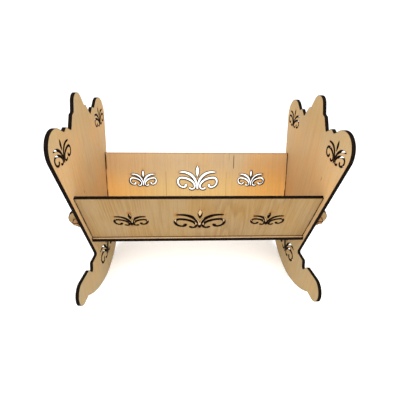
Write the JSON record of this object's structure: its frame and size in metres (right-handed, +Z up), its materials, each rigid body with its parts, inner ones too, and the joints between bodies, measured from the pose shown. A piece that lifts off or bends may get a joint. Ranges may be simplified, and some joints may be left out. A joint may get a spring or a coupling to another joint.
{
  "type": "baby cradle",
  "caption": "Rocking baby cradle knocked down from flat plywood boards: shaped end panels on curved rockers, leaning pierced side boards locked by wedges, and a base panel.",
  "frame": {"origin": "on the floor, midway between the rockers and midway between the two sides", "axes": "+X runs along the cradle from the left to the right end panel, +Y from the front to the rear side board, +Z up"},
  "size_m": [0.944, 0.702, 0.789],
  "materials": {
    "end_plywood": "sanded birch plywood, charred cut edges",
    "side_plywood": "sanded birch plywood, charred cut edges",
    "base_plywood": "sanded birch plywood, charred cut edges",
    "wedge_plywood": "birch plywood, charred cut edges"
  },
  "bodies": {
    "cradle": {"left_end_panel": "end_plywood", "right_end_panel": "end_plywood", "front_side_board": "side_plywood", "rear_side_board": "side_plywood", "base_panel": "base_plywood"},
    "front_left_key": {"front_left_wedge": "wedge_plywood"},
    "front_right_key": {"front_right_wedge": "wedge_plywood"},
    "rear_left_key": {"rear_left_wedge": "wedge_plywood"},
    "rear_right_key": {"rear_right_wedge": "wedge_plywood"}
  },
  "joints": [
    {"name": "front_left_wedge_slide", "type": "slide", "parent": "cradle", "child": "front_left_key", "axis": [0, -0.9466, -0.3223], "range_m": [0, 0.032]},
    {"name": "front_right_wedge_slide", "type": "slide", "parent": "cradle", "child": "front_right_key", "axis": [0, -0.9466, -0.3223], "range_m": [0, 0.032]},
    {"name": "rear_left_wedge_slide", "type": "slide", "parent": "cradle", "child": "rear_left_key", "axis": [0, 0.9466, -0.3223], "range_m": [0, 0.032]},
    {"name": "rear_right_wedge_slide", "type": "slide", "parent": "cradle", "child": "rear_right_key", "axis": [0, 0.9466, -0.3223], "range_m": [0, 0.032]}
  ]
}
